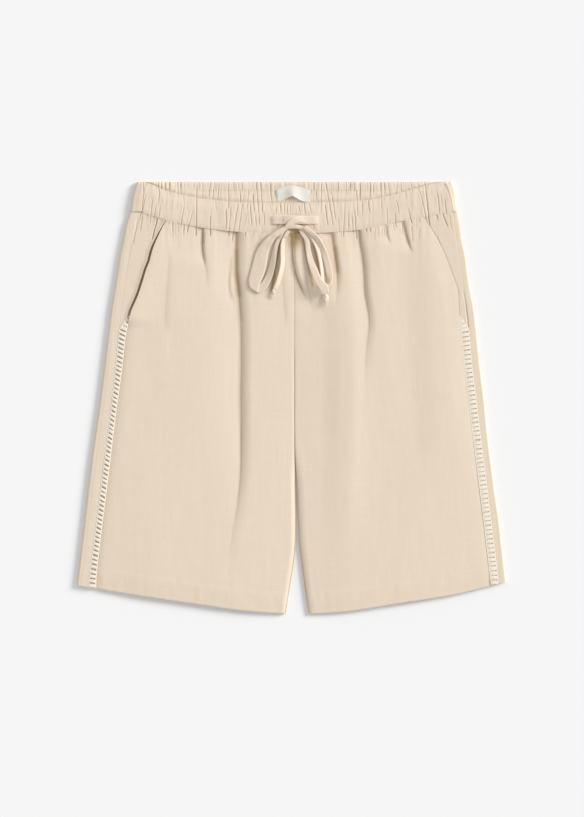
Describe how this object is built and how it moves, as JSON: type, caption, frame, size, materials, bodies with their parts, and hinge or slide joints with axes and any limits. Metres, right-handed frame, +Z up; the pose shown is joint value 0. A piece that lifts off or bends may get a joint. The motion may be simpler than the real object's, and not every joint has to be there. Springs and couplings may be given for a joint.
{
  "type": "bermuda shorts",
  "caption": "Knee-length cloth shorts laid flat, with a gathered elastic waistband, slant pockets, openwork side trim and a tied drawstring bow.",
  "frame": {"origin": "centre of the laid-out shorts, on the surface they lie on", "axes": "+X to the viewer's right, looking down on the front; +Y from the hems towards the waist; +Z up, out of the front"},
  "size_m": [0.5246, 0.5285, 0.0153],
  "materials": {
    "cloth": "matt sand-coloured linen blend, plain weave with fine slubs",
    "cloth_inside": "the same cloth inside the pocket mouths",
    "trim_thread": "pale cream thread, slightly shiny",
    "label_cloth": "smooth off-white woven label, blank"
  },
  "bodies": {
    "root": {"back_panel_left": "cloth", "back_panel_right": "cloth", "front_panel_left": "cloth", "front_panel_right": "cloth", "pocket_piece_left": "cloth_inside", "pocket_piece_right": "cloth_inside", "waistband_back": "cloth", "waistband_front": "cloth", "ladder_trim_left": "trim_thread", "ladder_trim_right": "trim_thread", "label": "label_cloth", "tie_run_left": "cloth", "tie_run_right": "cloth", "bow_knot": "cloth", "bow_loop_left": "cloth", "bow_loop_right": "cloth", "tie_tail_left": "cloth", "tie_tail_right": "cloth", "tail_end_left": "cloth", "tail_end_right": "cloth"}
  },
  "joints": []
}
